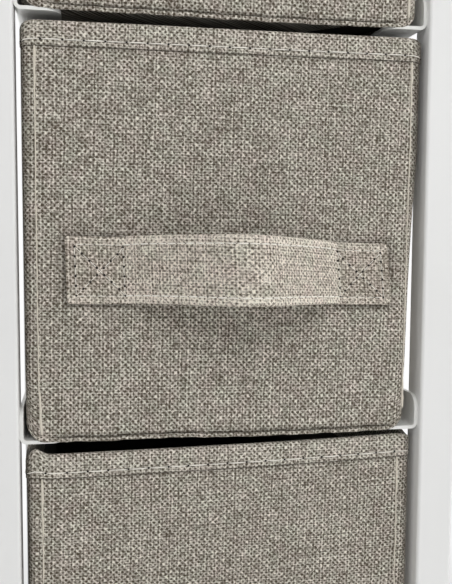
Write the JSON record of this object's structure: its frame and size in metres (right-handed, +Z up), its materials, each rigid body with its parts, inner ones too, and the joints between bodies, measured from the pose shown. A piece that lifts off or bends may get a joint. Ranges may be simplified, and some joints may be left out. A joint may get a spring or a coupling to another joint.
{
  "type": "fabric drawer dresser",
  "caption": "Slim tower dresser: white steel tube frame, cloth drawers with strap handles sliding on L-shaped runners, flat top board.",
  "frame": {"origin": "on the floor, in the middle of the outline", "axes": "+Z up; the drawers open towards -Y; +X to the right seen from the front"},
  "size_m": [0.2326, 0.3532, 0.8542],
  "materials": {
    "frame_paint": "white powder coat, satin",
    "runner_paint": "white powder coat, satin",
    "zinc_steel": "zinc plated",
    "top_board": "white melamine on fibreboard",
    "foot_plastic": "moulded",
    "drawer_cloth": "coarse linen-look plain weave",
    "strap_cloth": "linen-look plain weave, folded and stitched",
    "lining_cloth": "non-woven felt",
    "front_board": "fibreboard",
    "stiff_board": "grey board",
    "base_board": "fibreboard wrapped in non-woven felt"
  },
  "bodies": {
    "frame": {"bottom_left_runner": "runner_paint", "bottom_right_runner": "runner_paint", "foot_caps": "foot_plastic", "frame_bolts": "zinc_steel", "front_bottom_cross_bar": "frame_paint", "front_top_cross_bar": "frame_paint", "left_bottom_rail": "frame_paint", "left_front_post": "frame_paint", "left_rear_post": "frame_paint", "left_top_rail": "frame_paint", "lower_left_runner": "runner_paint", "lower_right_runner": "runner_paint", "rear_bottom_cross_bar": "frame_paint", "rear_top_cross_bar": "frame_paint", "right_bottom_rail": "frame_paint", "right_front_post": "frame_paint", "right_rear_post": "frame_paint", "right_top_rail": "frame_paint", "runner_rivets": "runner_paint", "threaded_plugs": "zinc_steel", "top_board": "top_board", "top_board_screws": "zinc_steel", "top_left_runner": "runner_paint", "top_right_runner": "runner_paint", "upper_left_runner": "runner_paint", "upper_right_runner": "runner_paint"},
    "bottom_drawer": {"bottom_drawer_back_board": "stiff_board", "bottom_drawer_base_board": "base_board", "bottom_drawer_cover": "drawer_cloth", "bottom_drawer_front_board": "front_board", "bottom_drawer_handle": "strap_cloth", "bottom_drawer_left_board": "stiff_board", "bottom_drawer_lining": "lining_cloth", "bottom_drawer_right_board": "stiff_board"},
    "lower_drawer": {"lower_drawer_back_board": "stiff_board", "lower_drawer_base_board": "base_board", "lower_drawer_cover": "drawer_cloth", "lower_drawer_front_board": "front_board", "lower_drawer_handle": "strap_cloth", "lower_drawer_left_board": "stiff_board", "lower_drawer_lining": "lining_cloth", "lower_drawer_right_board": "stiff_board"},
    "upper_drawer": {"upper_drawer_back_board": "stiff_board", "upper_drawer_base_board": "base_board", "upper_drawer_cover": "drawer_cloth", "upper_drawer_front_board": "front_board", "upper_drawer_handle": "strap_cloth", "upper_drawer_left_board": "stiff_board", "upper_drawer_lining": "lining_cloth", "upper_drawer_right_board": "stiff_board"},
    "top_drawer": {"top_drawer_back_board": "stiff_board", "top_drawer_base_board": "base_board", "top_drawer_cover": "drawer_cloth", "top_drawer_front_board": "front_board", "top_drawer_handle": "strap_cloth", "top_drawer_left_board": "stiff_board", "top_drawer_lining": "lining_cloth", "top_drawer_right_board": "stiff_board"}
  },
  "joints": [
    {"name": "bottom_drawer_slide", "type": "slide", "parent": "frame", "child": "bottom_drawer", "axis": [0, -1, 0], "range_m": [0, 0.21]},
    {"name": "lower_drawer_slide", "type": "slide", "parent": "frame", "child": "lower_drawer", "axis": [0, -1, 0], "range_m": [0, 0.21]},
    {"name": "upper_drawer_slide", "type": "slide", "parent": "frame", "child": "upper_drawer", "axis": [0, -1, 0], "range_m": [0, 0.21]},
    {"name": "top_drawer_slide", "type": "slide", "parent": "frame", "child": "top_drawer", "axis": [0, -1, 0], "range_m": [0, 0.21]}
  ]
}
